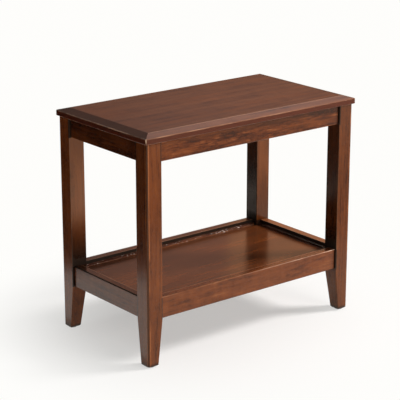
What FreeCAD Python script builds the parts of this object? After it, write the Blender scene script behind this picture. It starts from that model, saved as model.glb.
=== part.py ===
# End table with a shelf: bevelled top, tapered legs, tenoned aprons and rails, recessed shelf.
# Millimetres. +X runs along the length, +Y to the back and +Z up. The origin lies on the floor,
# under the middle of the table.
import FreeCAD, Part
import math
import os
import re
import Sketcher

SIZES = {
    "table_height": 530,
    "top_length": 610,
    "top_width": 342,
    "top_thickness": 19,
    "top_overhang": 5,
    "top_corner_radius": 4,
    "top_arris_radius": 2,
    "bevel_width": 23,
    "bevel_drop": 6.5,
    "leg_size": 40,
    "leg_corner_radius": 5,
    "leg_arris_radius": 1.5,
    "foot_size": 28,
    "foot_ease": 2.5,
    "apron_height": 45,
    "apron_thickness": 20,
    "apron_setback": 5,
    "rail_underside": 109,
    "rail_height": 49,
    "rail_thickness": 21,
    "rail_setback": 5,
    "board_arris_radius": 1.5,
    "tenon_thickness": 8,
    "tenon_shoulder": 7,
    "tenon_wall": 6,
    "mortise_clearance": 0.2,
    "shelf_recess": 13,
    "shelf_thickness": 9,
    "shelf_clearance": 0.5,
    "bead_size": 5,
    "cleat_size": 12,
    "cleat_end_gap": 3,
    "block_height": 28,
    "block_thickness": 22,
    "block_gap": 1,
    "hole_clearance": 0.2,
    "screw_diameter": 3.5,
    "screw_head_diameter": 7,
    "screw_head_height": 2.2,
    "counterbore_clearance": 0.5,
    "block_screw_seat": 10,
    "block_screw_bite": 12,
    "top_screw_cover": 9,
    "cleat_screw_bite": 12,
    "cleat_screw_end": 40,
    "glide_diameter": 20,
    "glide_height": 2,
    "glide_pin_diameter": 2.5,
    "glide_pin_length": 12,
}

# Places worked out from the sizes, as formulas.
LEG_X = "(top_length / 2 - top_overhang)"
LEG_Y = "(top_width / 2 - top_overhang)"
LEG_TOP = "(table_height - top_thickness)"
APRON_UNDERSIDE = f"({LEG_TOP} - apron_height)"
APRON_INNER = "(apron_setback + apron_thickness)"
RAIL_INNER = "(rail_setback + rail_thickness)"
SHELF_TOP = "(rail_underside + rail_height - shelf_recess)"
SHELF_UNDERSIDE = f"({SHELF_TOP} - shelf_thickness)"
EDGE_BAND = "(top_thickness - bevel_drop)"
BLOCK_NEAR = "(2 * leg_size + sqrt(2) * block_gap)"
BLOCK_FAR = f"({BLOCK_NEAR} + sqrt(2) * block_thickness)"
BLOCK_UNDERSIDE = f"({LEG_TOP} - block_height)"
CLEAT_END = f"(max(leg_size; {RAIL_INNER} + cleat_size) + cleat_end_gap)"
SCREW_HOLE = "screw_diameter + 2 * hole_clearance"
COUNTERBORE = "screw_head_diameter + 2 * counterbore_clearance"

# Corners and sides in turning order: each piece is the first one of its kind, turned by its place here.
# A corner's own side starts at that corner, and the side before it ends there.
CORNERS = ["front_left", "front_right", "back_right", "back_left"]
SIDES = ["front", "right", "back", "left"]

# Each kind of board's setback from the legs' outer faces, thickness, underside and height.
BOARDS = {
    "apron": ("apron_setback", "apron_thickness", APRON_UNDERSIDE, "apron_height"),
    "rail": ("rail_setback", "rail_thickness", "rail_underside", "rail_height"),
}

UP = FreeCAD.Vector(0, 0, 1)
CLOSE = 0.01

doc = FreeCAD.newDocument("EndTable")
sheet = doc.addObject("Spreadsheet::Sheet", "Sizes")
for row, (alias, size) in enumerate(SIZES.items(), 1):
    sheet.set(f"A{row}", alias)
    sheet.set(f"B{row}", str(size))
    sheet.setAlias(f"B{row}", alias)
doc.recompute()


def formula(text):
    """Turns the size names in a formula into references to the sheet's cells."""
    return re.sub(r"[a-z]+(_[a-z]+)+", r"Sizes.\g<0>", text)


def number(text):
    """The present value of a formula."""
    return float(sheet.evalExpression(formula(text)))


def bind(item, **formulas):
    """Drives an object's properties by formulas."""
    for name, text in formulas.items():
        item.setExpression(name, formula(text))


def place(item, x, y, z, rotation=FreeCAD.Rotation()):
    """Turns an object and drives its position by formulas."""
    item.Placement = FreeCAD.Placement(FreeCAD.Vector(), rotation)
    for axis, text in (("x", x), ("y", y), ("z", z)):
        item.setExpression(f"Placement.Base.{axis}", formula(text))


def quarter_turn(turns):
    """A turn about the vertical by so many right angles."""
    return FreeCAD.Rotation(UP, 90 * turns)


def half_length(side):
    """Half the clear length between the two legs that a side joins, as a formula."""
    reach = LEG_X if side in ("front", "back") else LEG_Y
    return f"({reach} - leg_size)"


def corner_point(corner, inward_x, inward_y):
    """The table's x and y, as formulas, of a point measured inwards from a leg's outer faces."""
    x_sign = "-" if "left" in corner else ""
    y_sign = "-" if "front" in corner else ""
    return f"{x_sign}({LEG_X} - ({inward_x}))", f"{y_sign}({LEG_Y} - ({inward_y}))"


def side_point(side, along, inward):
    """The table's x and y, as formulas, of a point along a side and inwards from its legs' outer faces."""
    places = {
        "front": (f"({along})", f"({inward}) - {LEG_Y}"),
        "right": (f"{LEG_X} - ({inward})", f"({along})"),
        "back": (f"-({along})", f"{LEG_Y} - ({inward})"),
        "left": (f"({inward}) - {LEG_X}", f"-({along})"),
    }
    return places[side]


def outward(side):
    """The rotation that lays an object's own Z square to a side, towards the outside."""
    return FreeCAD.Rotation(UP, quarter_turn(SIDES.index(side)).multVec(FreeCAD.Vector(0, -1, 0)))


def tenon_tip(kind):
    """How deep inside a leg's outer face a tenon ends, clear of the tenon that crosses its path."""
    setback, thickness, underside, height = BOARDS[kind]
    return f"({setback} + {thickness} / 2 + tenon_thickness / 2 + tenon_wall)"


def origin_plane(body, role):
    """One of the three planes of a body's own origin."""
    for feature in body.Origin.OriginFeatures:
        if feature.Role == role:
            return feature
    raise RuntimeError(f"{body.Name} has no {role}")


def new_sketch(body, name, role, offset="0"):
    """An empty sketch on one of a body's origin planes, or parallel to it."""
    sketch = body.newObject("Sketcher::SketchObject", name)
    sketch.AttachmentSupport = [(origin_plane(body, role), "")]
    sketch.MapMode = "FlatFace"
    sketch.setExpression("AttachmentOffset.Base.z", formula(offset))
    return sketch


def drive(sketch, text, kind, *where):
    """Adds a constraint whose value is driven by a formula."""
    which = sketch.addConstraint(Sketcher.Constraint(kind, *where, number(text)))
    sketch.setExpression(f"Constraints[{which}]", formula(text))


def pin(sketch, kind, edge, text):
    """Holds an edge's start at a driven distance from the sketch's origin."""
    drive(sketch, text, kind, -1, 1, edge, 1)


def add_loop(sketch, corners):
    """Adds a closed loop of straight edges through corners given as pairs of formulas."""
    points = [FreeCAD.Vector(number(x), number(y), 0) for x, y in corners]
    following = points[1:] + points[:1]
    edges = [sketch.addGeometry(Part.LineSegment(a, b)) for a, b in zip(points, following)]
    for edge, after in zip(edges, edges[1:] + edges[:1]):
        sketch.addConstraint(Sketcher.Constraint("Coincident", edge, 2, after, 1))
    for edge, (x, y) in zip(edges, corners):
        pin(sketch, "DistanceX", edge, x)
        pin(sketch, "DistanceY", edge, y)


def add_rectangle(sketch, x_low, y_low, x_high, y_high):
    """Adds a rectangle whose sides are formulas."""
    add_loop(sketch, [(x_low, y_low), (x_high, y_low), (x_high, y_high), (x_low, y_high)])


def add_rounded_square(sketch, size, radii, inset="0"):
    """Adds a square from the sketch's origin, drawn in all round, with a radius at each corner."""
    side = number(f"{size} - 2 * {inset}")
    rounds = [number(radius) for radius in radii]
    corner = FreeCAD.Vector(number(inset), number(inset), 0)
    ahead = FreeCAD.Vector(1, 0, 0)
    arcs, lines = [], []
    for turn, radius in enumerate(rounds):
        inward = FreeCAD.Vector(-ahead.y, ahead.x, 0)
        circle = Part.Circle(corner + (ahead + inward) * radius, UP, radius)
        start = math.pi + turn * math.pi / 2
        arcs.append(sketch.addGeometry(Part.ArcOfCircle(circle, start, start + math.pi / 2)))
        next_radius = rounds[(turn + 1) % len(rounds)]
        edge = Part.LineSegment(corner + ahead * radius, corner + ahead * (side - next_radius))
        lines.append(sketch.addGeometry(edge))
        corner = corner + ahead * side
        ahead = inward
    for arc, line, after in zip(arcs, lines, arcs[1:] + arcs[:1]):
        sketch.addConstraint(Sketcher.Constraint("Tangent", arc, 2, line, 1))
        sketch.addConstraint(Sketcher.Constraint("Tangent", line, 2, after, 1))
    for arc, radius in zip(arcs, radii):
        drive(sketch, radius, "Radius", arc)
    for line, direction in zip(lines, ("Horizontal", "Vertical", "Horizontal", "Vertical")):
        sketch.addConstraint(Sketcher.Constraint(direction, line))
    pin(sketch, "DistanceY", lines[0], inset)
    pin(sketch, "DistanceX", lines[1], f"{size} - {inset}")
    pin(sketch, "DistanceY", lines[2], f"{size} - {inset}")
    pin(sketch, "DistanceX", lines[3], inset)


def pad(body, name, sketch, length, side_type="One side"):
    """Extrudes a sketch into solid material."""
    feature = body.newObject("PartDesign::Pad", name)
    feature.Profile = sketch
    feature.SideType = side_type
    bind(feature, Length=length)


def pocket(body, name, sketch, length):
    """Cuts a sketch out of the body, half the length to each side of its plane."""
    before = body.Shape.Volume
    feature = body.newObject("PartDesign::Pocket", name)
    feature.Profile = sketch
    feature.SideType = "Symmetric"
    bind(feature, Length=length)
    doc.recompute()
    if body.Shape.Volume > before - CLOSE:
        raise RuntimeError(f"{name} cuts nothing")


def ease(body, name, radius, accept):
    """Rounds the edges of a body whose two ends pass a test."""
    doc.recompute()
    tip = body.Tip
    edges = []
    for count, edge in enumerate(tip.Shape.Edges, 1):
        ends = [vertex.Point for vertex in edge.Vertexes]
        if len(ends) == 2 and accept(ends[0], ends[1]):
            edges.append(f"Edge{count}")
    feature = body.newObject("PartDesign::Fillet", name)
    feature.Base = (tip, edges)
    bind(feature, Radius=radius)
    doc.recompute()


def cylinder(name, diameter, length, x, y, z, rotation=FreeCAD.Rotation()):
    """A round bar from a point, along its own Z after the rotation."""
    bar = doc.addObject("Part::Cylinder", name)
    bind(bar, Radius=f"({diameter}) / 2", Height=length)
    place(bar, x, y, z, rotation)
    return bar


def fuse(name, shapes):
    """One solid made of several."""
    joined = doc.addObject("Part::MultiFuse", name)
    joined.Shapes = shapes
    return joined


def cut(name, base, holes):
    """A base with holes taken out of it."""
    tool = holes[0]
    if len(holes) > 1:
        tool = doc.addObject("Part::Compound", f"{name}_holes")
        tool.Links = holes
    result = doc.addObject("Part::Cut", name)
    result.Base = base
    result.Tool = tool
    return result


nodes = []


def finish(item, label):
    """Names a finished sub-part and lists it for export."""
    item.Label = label
    nodes.append(item)


def group(label, items):
    """A set of like fasteners, each a solid of its own, under one label."""
    compound = doc.addObject("Part::Compound", f"{label}_group")
    compound.Links = items
    finish(compound, label)


# Fixings come first, because the wooden pieces are drilled for them.


def screw(name, length, seat, back, rotation=FreeCAD.Rotation()):
    """A pan-head screw, given the points at its seat and at the back of its head, and its hole."""
    head = cylinder(f"{name}_head", "screw_head_diameter", "screw_head_height", *back, rotation)
    shank = cylinder(f"{name}_shank", "screw_diameter", length, *seat, rotation)
    hole = cylinder(f"{name}_hole", SCREW_HOLE, f"{length} + hole_clearance", *seat, rotation)
    return fuse(name, [head, shank]), hole


def top_screw(corner):
    """The screw up through a corner block into the top, and its hole."""
    middle = f"({BLOCK_NEAR} + {BLOCK_FAR}) / 4"
    x, y = corner_point(corner, middle, middle)
    length = "block_height + top_thickness - top_screw_cover"
    seat = (x, y, BLOCK_UNDERSIDE)
    back = (x, y, f"{BLOCK_UNDERSIDE} - screw_head_height")
    return screw(f"top_screw_{corner}", length, seat, back)


def side_screw(name, side, along, level, seat, length):
    """A level screw driven outwards from a seat inside one side of the frame, and its hole."""
    seat_x, seat_y = side_point(side, along, seat)
    back_x, back_y = side_point(side, along, f"{seat} + screw_head_height")
    return screw(name, length, (seat_x, seat_y, level), (back_x, back_y, level), outward(side))


def block_screw(corner, side, along):
    """The screw through a corner block into one apron, its hole and the counterbore for its head."""
    name = f"block_screw_{corner}_{side}"
    level = f"{LEG_TOP} - block_height / 2"
    seat = f"{APRON_INNER} + block_screw_seat"
    fixed, hole = side_screw(name, side, along, level, seat, "block_screw_seat + block_screw_bite")
    x, y = side_point(side, along, f"{seat} + block_thickness")
    bore = cylinder(f"{name}_counterbore", COUNTERBORE, "block_thickness", x, y, level, outward(side))
    return fixed, hole, bore


def foot_glide(corner):
    """A plastic glide with its nail, and the hole that the nail makes in the foot."""
    x, y = corner_point(corner, "foot_size / 2", "foot_size / 2")
    disc = cylinder(f"glide_disc_{corner}", "glide_diameter", "glide_height", x, y, "0")
    nail_length = "glide_height + glide_pin_length"
    nail = cylinder(f"glide_nail_{corner}", "glide_pin_diameter", nail_length, x, y, "0")
    nail_hole = "glide_pin_diameter + 2 * hole_clearance"
    hole = cylinder(f"glide_hole_{corner}", nail_hole, f"{nail_length} + hole_clearance", x, y, "0")
    finish(fuse(f"glide_{corner}", [disc, nail]), f"foot_glide_{corner}")
    return hole


# The wooden pieces.


def mortise(body, kind, role, side):
    """Cuts the mortise for one kind of board into one inner face of a leg."""
    setback, thickness, underside, height = BOARDS[kind]
    bottom = f"({tenon_tip(kind)} - mortise_clearance)"
    name = f"{body.Name}_{kind}_mortise_{role}"
    mouth = new_sketch(body, f"{name}_mouth", role, f"{side}({bottom} + leg_size) / 2")
    middle = f"{setback} + {thickness} / 2"
    half = "(tenon_thickness / 2 + mortise_clearance)"
    low = f"{underside} + tenon_shoulder - mortise_clearance"
    high = f"{underside} + {height} - tenon_shoulder + mortise_clearance"
    add_rectangle(mouth, f"{middle} - {half}", low, f"{middle} + {half}", high)
    pocket(body, name, mouth, f"leg_size - {bottom}")


def leg(corner, hole):
    """A square post that tapers on two sides below the rails, eased round the sole, mortised for tenons."""
    name = f"leg_{corner}"
    radii = ["leg_corner_radius", "leg_arris_radius", "leg_arris_radius", "leg_arris_radius"]
    body = doc.addObject("PartDesign::Body", f"{name}_body")
    knee = new_sketch(body, f"{name}_knee", "XY_Plane", "rail_underside")
    add_rounded_square(knee, "leg_size", radii)
    foot = new_sketch(body, f"{name}_foot", "XY_Plane", "glide_height + foot_ease")
    add_rounded_square(foot, "foot_size", radii)
    sole = new_sketch(body, f"{name}_sole", "XY_Plane", "glide_height")
    add_rounded_square(sole, "foot_size", radii, "foot_ease")
    pad(body, f"{name}_post", knee, f"{LEG_TOP} - rail_underside")
    doc.recompute()
    taper = body.newObject("PartDesign::AdditiveLoft", f"{name}_taper")
    taper.Profile = sole
    taper.Sections = [foot, knee]
    taper.Ruled = True
    doc.recompute()
    for role, side in (("YZ_Plane", ""), ("XZ_Plane", "-")):
        for kind in BOARDS:
            mortise(body, kind, role, side)
    x, y = corner_point(corner, "0", "0")
    place(body, x, y, "0", quarter_turn(CORNERS.index(corner)))
    finish(cut(name, body, [hole]), name)


def board(kind, side, holes, eased):
    """An apron or a rail between two legs, with a tenon at each end and its long arrises eased."""
    name = f"{kind}_{side}"
    half = half_length(side)
    setback, thickness, underside, height = BOARDS[kind]
    tenon = f"(leg_size - {tenon_tip(kind)})"
    body = doc.addObject("PartDesign::Body", f"{name}_body")
    face = new_sketch(body, f"{name}_face", "XZ_Plane")
    add_rectangle(face, tenon, "0", f"{tenon} + 2 * {half}", height)
    pad(body, f"{name}_plank", face, thickness, "Symmetric")
    tongue = new_sketch(body, f"{name}_tongue", "XZ_Plane")
    far_tip = f"2 * {tenon} + 2 * {half}"
    add_rectangle(tongue, "0", "tenon_shoulder", far_tip, f"{height} - tenon_shoulder")
    pad(body, f"{name}_tenons", tongue, "tenon_thickness", "Symmetric")
    face_out = number(thickness) / 2

    def on_long_arris(a, b):
        lengthwise = abs(a.x - b.x) > CLOSE and abs(a.z - b.z) < CLOSE
        outside = min(abs(a.y), abs(b.y)) > face_out - CLOSE
        return lengthwise and outside and (eased == "all" or a.z < CLOSE)

    ease(body, f"{name}_arrises", "board_arris_radius", on_long_arris)
    x, y = side_point(side, f"-{half} - {tenon}", f"{setback} + {thickness} / 2")
    place(body, x, y, underside, quarter_turn(SIDES.index(side)))
    finish(cut(f"{name}_drilled", body, holes), name)


def corner_block(corner, holes):
    """A block across the corner behind a leg, glued and screwed to two aprons, that holds the top."""
    name = f"corner_block_{corner}"
    body = doc.addObject("PartDesign::Body", f"{name}_body")
    plan = new_sketch(body, f"{name}_plan", "XY_Plane")
    near = f"{BLOCK_NEAR} - {APRON_INNER}"
    far = f"{BLOCK_FAR} - {APRON_INNER}"
    add_loop(plan, [(near, APRON_INNER), (far, APRON_INNER), (APRON_INNER, far), (APRON_INNER, near)])
    pad(body, f"{name}_wood", plan, "block_height")
    x, y = corner_point(corner, "0", "0")
    place(body, x, y, BLOCK_UNDERSIDE, quarter_turn(CORNERS.index(corner)))
    finish(cut(name, body, holes), name)


def top_board(holes):
    """The top: one board with eased corners and a wide shallow bevel round its upper face."""
    body = doc.addObject("PartDesign::Body", "top_body")
    outline = new_sketch(body, "top_outline", "XY_Plane")
    add_rectangle(outline, "0", "0", "top_length", "top_width")
    pad(body, "top_slab", outline, "top_thickness")
    ease(body, "top_corners", "top_corner_radius", lambda a, b: abs(a.z - b.z) > CLOSE)
    for role, length in (("XZ_Plane", "top_length"), ("YZ_Plane", "top_width")):
        bevels = new_sketch(body, f"top_bevels_{role}", role)
        add_loop(bevels, [("0", EDGE_BAND), ("bevel_width", "top_thickness"), ("0", "top_thickness")])
        inner = f"{length} - bevel_width"
        add_loop(bevels, [(length, EDGE_BAND), (length, "top_thickness"), (inner, "top_thickness")])
        pocket(body, f"top_bevel_cut_{role}", bevels, "2 * top_length + 2 * top_width")

    band = number(EDGE_BAND)
    halfway_up = band + number("bevel_drop / 2")

    def on_mitre(a, b):
        low, high = sorted((a.z, b.z))
        return low > band - CLOSE and low < halfway_up < high

    def on_band_edge(a, b):
        low, high = sorted((a.z, b.z))
        return high < CLOSE or (low > band - CLOSE and high < halfway_up)

    arris = f"min(top_arris_radius; {EDGE_BAND} / 3)"
    ease(body, "top_mitres", arris, on_mitre)
    ease(body, "top_arrises", arris, on_band_edge)
    place(body, "-top_length / 2", "-top_width / 2", LEG_TOP)
    finish(cut("top_drilled", body, holes), "top_board")


def shelf_panel():
    """The shelf: a thin panel inside the rails, notched round the four legs, lying on the cleats."""
    half_x = f"({LEG_X} - {RAIL_INNER} - shelf_clearance)"
    half_y = f"({LEG_Y} - {RAIL_INNER} - shelf_clearance)"
    notch = f"(leg_size - {RAIL_INNER})"
    far_x = f"2 * {half_x}"
    far_y = f"2 * {half_y}"
    in_x = f"{far_x} - {notch}"
    in_y = f"{far_y} - {notch}"
    corners = [
        (notch, "0"), (in_x, "0"), (in_x, notch), (far_x, notch), (far_x, in_y), (in_x, in_y),
        (in_x, far_y), (notch, far_y), (notch, in_y), ("0", in_y), ("0", notch), (notch, notch),
    ]
    body = doc.addObject("PartDesign::Body", "shelf_body")
    outline = new_sketch(body, "shelf_outline", "XY_Plane")
    add_loop(outline, corners)
    pad(body, "shelf_board", outline, "shelf_thickness")
    place(body, f"-{half_x}", f"-{half_y}", SHELF_UNDERSIDE)
    finish(body, "shelf_panel")


def shelf_bead(side):
    """A quarter-round bead in the corner between a rail and the shelf."""
    bead = doc.addObject("Part::Cylinder", f"bead_{side}")
    bead.Angle = 90
    bind(bead, Radius="bead_size", Height=f"2 * {half_length(side)}")
    laid = FreeCAD.Rotation(UP, FreeCAD.Vector(0, 1, 0), FreeCAD.Vector(-1, 0, 0), "XYZ")
    x, y = side_point(side, half_length(side), RAIL_INNER)
    place(bead, x, y, SHELF_TOP, quarter_turn(SIDES.index(side)) * laid)
    finish(bead, f"shelf_bead_{side}")


def shelf_cleat(side, holes):
    """A square strip screwed to a rail, on which the shelf lies."""
    half_strip = f"({half_length(side)} + leg_size - {CLEAT_END})"
    strip = doc.addObject("Part::Box", f"cleat_strip_{side}")
    bind(strip, Length=f"2 * {half_strip}", Width="cleat_size", Height="cleat_size")
    x, y = side_point(side, f"-{half_strip}", RAIL_INNER)
    place(strip, x, y, f"{SHELF_UNDERSIDE} - cleat_size", quarter_turn(SIDES.index(side)))
    finish(cut(f"cleat_{side}", strip, holes), f"shelf_cleat_{side}")


apron_holes = {side: [] for side in SIDES}
top_screws, top_holes, block_screws, cleat_screws = [], [], [], []

for turn, corner in enumerate(CORNERS):
    fixed, top_hole = top_screw(corner)
    top_screws.append(fixed)
    top_holes.append(top_hole)
    block_holes = [top_hole]
    for side, end in ((SIDES[turn], "-"), (SIDES[turn - 1], "")):
        block_end = f"({BLOCK_NEAR} + {BLOCK_FAR}) / 2 - {APRON_INNER}"
        along = f"{end}({half_length(side)} + leg_size - ({block_end}))"
        fixed, hole, bore = block_screw(corner, side, along)
        block_screws.append(fixed)
        apron_holes[side].append(hole)
        block_holes.extend([hole, bore])
    corner_block(corner, block_holes)
    leg(corner, foot_glide(corner))

for side in SIDES:
    near_leg = f"({half_length(side)} - cleat_screw_end)"
    cleat_holes = []
    for spot, along in (("start", f"-{near_leg}"), ("middle", "0"), ("end", near_leg)):
        level = f"{SHELF_UNDERSIDE} - cleat_size / 2"
        seat = f"{RAIL_INNER} + cleat_size"
        length = "cleat_size + cleat_screw_bite"
        fixed, hole = side_screw(f"cleat_screw_{side}_{spot}", side, along, level, seat, length)
        cleat_screws.append(fixed)
        cleat_holes.append(hole)
    board("apron", side, apron_holes[side], "lower")
    board("rail", side, cleat_holes, "all")
    shelf_cleat(side, cleat_holes)
    shelf_bead(side)

shelf_panel()
top_board(top_holes)
group("top_screws", top_screws)
group("block_screws", block_screws)
group("cleat_screws", cleat_screws)

doc.recompute()
for item in doc.Objects:
    if "Invalid" in item.State or "Error" in item.State:
        raise RuntimeError(f"{item.Label} failed: {item.State}")
for item in nodes:
    if item.Shape.isNull() or not item.Shape.isValid() or not item.Shape.Solids:
        raise RuntimeError(f"{item.Label} has no sound shape")

os.makedirs("parts", exist_ok=True)
for item in nodes:
    item.Shape.exportStep(f"parts/{item.Label}.step")
    print(item.Label, len(item.Shape.Solids), round(item.Shape.Volume, 1))
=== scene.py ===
import math

import bmesh
import bpy
from mathutils import Matrix, Vector


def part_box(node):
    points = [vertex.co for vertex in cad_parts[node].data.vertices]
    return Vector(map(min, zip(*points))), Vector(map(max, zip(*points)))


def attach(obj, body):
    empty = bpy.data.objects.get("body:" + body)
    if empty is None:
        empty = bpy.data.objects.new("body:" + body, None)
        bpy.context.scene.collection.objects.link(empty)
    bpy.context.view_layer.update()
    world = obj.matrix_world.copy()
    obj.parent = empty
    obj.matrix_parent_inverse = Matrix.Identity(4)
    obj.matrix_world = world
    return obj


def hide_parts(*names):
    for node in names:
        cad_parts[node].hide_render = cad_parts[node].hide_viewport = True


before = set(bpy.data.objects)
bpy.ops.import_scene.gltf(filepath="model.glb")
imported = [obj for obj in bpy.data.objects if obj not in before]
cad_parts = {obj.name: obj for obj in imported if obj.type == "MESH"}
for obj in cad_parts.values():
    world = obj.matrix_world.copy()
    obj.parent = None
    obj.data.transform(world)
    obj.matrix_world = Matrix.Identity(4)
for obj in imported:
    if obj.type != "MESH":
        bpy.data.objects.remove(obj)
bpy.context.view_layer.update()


# Legs
# Four square legs of solid walnut, tapered below the shelf on their two inner faces, each cut from one
# length of wood with the grain running up it. They are stained red-brown and sprayed with satin lacquer,
# which the spray and the sanding leave a little thin and pale along the outer corners. That pale line is
# also painted highlight, and painted shade lies on the round of each outer corner, on the inner faces near
# the rails and lower down, in the setbacks at the joints and at the soles, with a painted sheen on the upper
# inner face.

def tint(red, green, blue):
    channels = []
    for value in (red, green, blue):
        share = value / 255.0
        channels.append(share / 12.92 if share <= 0.04045 else ((share + 0.055) / 1.055) ** 2.4)
    return (*channels, 1.0)


def add_node(tree, kind, **settings):
    node = tree.nodes.new(kind)
    for setting, value in settings.items():
        setattr(node, setting, value)
    return node


def feed(tree, socket, value):
    if isinstance(value, bpy.types.NodeSocket):
        tree.links.new(value, socket)
    else:
        socket.default_value = value


def reckon(tree, operation, *values):
    node = add_node(tree, "ShaderNodeMath", operation=operation)
    for socket, value in zip(node.inputs, values):
        feed(tree, socket, value)
    return node.outputs["Value"]


def reckon_vector(tree, operation, *values):
    node = add_node(tree, "ShaderNodeVectorMath", operation=operation)
    for socket, value in zip(node.inputs, values):
        feed(tree, socket, value)
    return node.outputs["Value" if operation == "LENGTH" else "Vector"]


def split(tree, vector):
    node = add_node(tree, "ShaderNodeSeparateXYZ")
    feed(tree, node.inputs["Vector"], vector)
    return node.outputs["X"], node.outputs["Y"], node.outputs["Z"]


def spread(tree, value, low, high, to_low, to_high, curve="LINEAR"):
    node = add_node(tree, "ShaderNodeMapRange", interpolation_type=curve, clamp=True)
    for socket, given in zip(node.inputs, (value, low, high, to_low, to_high)):
        feed(tree, socket, given)
    return node.outputs[0]


# Noise that has as many patches to a metre, along each axis, as stretch says.
def cloud(tree, point, stretch, detail=3.0, roughness=0.55, distortion=0.0):
    noise = add_node(tree, "ShaderNodeTexNoise")
    feed(tree, noise.inputs["Vector"], reckon_vector(tree, "MULTIPLY", point, stretch))
    noise.inputs["Scale"].default_value = 1.0
    noise.inputs["Detail"].default_value = detail
    noise.inputs["Roughness"].default_value = roughness
    noise.inputs["Distortion"].default_value = distortion
    return noise.outputs[0]


def blend_colours(tree, share, first, second):
    node = add_node(tree, "ShaderNodeMix", data_type="RGBA", clamp_factor=True)
    factor, colour_a, colour_b = node.inputs[0], node.inputs[6], node.inputs[7]
    feed(tree, factor, share)
    feed(tree, colour_a, first)
    feed(tree, colour_b, second)
    return node.outputs[2]


def open_group(name, vectors, values, results):
    group = bpy.data.node_groups.new(name, "ShaderNodeTree")
    for socket in vectors:
        group.interface.new_socket(socket, in_out="INPUT", socket_type="NodeSocketVector")
    for socket in values:
        group.interface.new_socket(socket, in_out="INPUT", socket_type="NodeSocketFloat")
    for socket in results:
        group.interface.new_socket(socket, in_out="OUTPUT", socket_type="NodeSocketFloat")
    entry = group.nodes.new("NodeGroupInput")
    leave = group.nodes.new("NodeGroupOutput")
    return group, entry.outputs, leave.inputs


def make_wood_figure():
    group, given, result = open_group(
        "wood_figure",
        vectors=("Board", "Heart"),
        values=("Ring Width", "Rings", "Bands", "Streaks", "Curls", "Clouds", "Flecks"),
        results=("Tone", "Warmth", "Pores", "Relief"),
    )
    board = given["Board"]
    from_heart = reckon_vector(group, "SUBTRACT", board, given["Heart"])
    across_grain = reckon_vector(group, "MULTIPLY", from_heart, (0.0, 1.0, 1.0))
    radius = reckon_vector(group, "LENGTH", across_grain)
    # Pieces with different hearts show different stretches of the figure.
    trees_apart = (31.0, 31.0, 31.0)
    place = reckon_vector(group, "MULTIPLY_ADD", given["Heart"], trees_apart, board)

    wander = cloud(group, place, (1.6, 11.0, 11.0), detail=2.0)
    waver = cloud(group, place, (9.0, 120.0, 120.0))
    bent = reckon(group, "MULTIPLY_ADD", wander, 0.045, radius)
    bent = reckon(group, "MULTIPLY_ADD", waver, 0.004, bent)
    ring = reckon(group, "FRACT", reckon(group, "DIVIDE", bent, given["Ring Width"]))
    late_wood = spread(group, ring, 0.35, 0.92, 0.0, 1.0, "SMOOTHSTEP")
    ring_end = spread(group, ring, 0.92, 1.0, 1.0, 0.0, "SMOOTHSTEP")
    late_wood = reckon(group, "MULTIPLY", late_wood, ring_end)

    band = cloud(group, place, (2.6, 62.0, 62.0), detail=2.0)
    streak = cloud(group, place, (4.5, 210.0, 210.0), detail=4.0, roughness=0.62)
    curl = cloud(group, place, (21.0, 165.0, 165.0), roughness=0.6, distortion=0.9)
    patch = cloud(group, place, (15.0, 42.0, 42.0), detail=4.0, roughness=0.6, distortion=0.5)
    ripple = cloud(group, place, (62.0, 14.0, 14.0), detail=2.0)
    patch = reckon(group, "MULTIPLY_ADD", ripple, 0.4, patch)
    patch = reckon(group, "SUBTRACT", patch, 0.7)
    cluster = cloud(group, place, (8.0, 48.0, 48.0), detail=2.0)
    dash = cloud(group, place, (62.0, 300.0, 300.0), detail=2.5)
    dash = reckon(group, "MULTIPLY_ADD", cluster, 0.55, dash)
    dash = spread(group, dash, 0.8, 0.98, 0.0, 1.0, "SMOOTHSTEP")

    tone = reckon(group, "SUBTRACT", 0.5, reckon(group, "MULTIPLY", late_wood, given["Rings"]))
    for pattern, strength in ((band, "Bands"), (streak, "Streaks"), (curl, "Curls")):
        off_middle = reckon(group, "SUBTRACT", pattern, 0.5)
        tone = reckon(group, "MULTIPLY_ADD", off_middle, given[strength], tone)
    tone = reckon(group, "MULTIPLY_ADD", patch, given["Clouds"], tone)
    tone = reckon(group, "SUBTRACT", tone, reckon(group, "MULTIPLY", dash, given["Flecks"]))

    warm = cloud(group, place, (5.0, 34.0, 34.0))
    warm = spread(group, warm, 0.46, 0.68, 0.0, 1.0, "SMOOTHSTEP")
    pore = cloud(group, place, (140.0, 2300.0, 2300.0), detail=1.0)
    pore = spread(group, pore, 0.58, 0.68, 0.0, 1.0, "SMOOTHSTEP")
    feed(group, result["Tone"], tone)
    feed(group, result["Warmth"], warm)
    feed(group, result["Pores"], pore)
    feed(group, result["Relief"], reckon(group, "MULTIPLY_ADD", pore, -0.7, streak))
    return group


# A mask along a board's edges, broken up along them, for pale wear on the lacquer and painted highlight.
def make_edge_wear_and_highlight():
    group, given, result = open_group("edge_wear_and_highlight", ("Board", "Half"), ("Width",), ("Mask",))
    away = reckon_vector(group, "ABSOLUTE", given["Board"])
    along, across, up = split(group, reckon_vector(group, "SUBTRACT", given["Half"], away))
    nearer = reckon(group, "MINIMUM", along, across)
    farther = reckon(group, "MAXIMUM", along, across)
    from_edge = reckon(group, "MAXIMUM", nearer, reckon(group, "MINIMUM", farther, up))
    wear_and_painted_light = spread(group, from_edge, 0.0, given["Width"], 1.0, 0.0, "SMOOTHSTEP")
    broken = cloud(group, given["Board"], (22.0, 60.0, 60.0), detail=4.0, roughness=0.65)
    broken = spread(group, broken, 0.38, 0.6, 0.15, 1.0, "SMOOTHSTEP")
    feed(group, result["Mask"], reckon(group, "MULTIPLY", wear_and_painted_light, broken))
    return group


wood_figure = make_wood_figure()
edge_wear_and_highlight = make_edge_wear_and_highlight()

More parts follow.
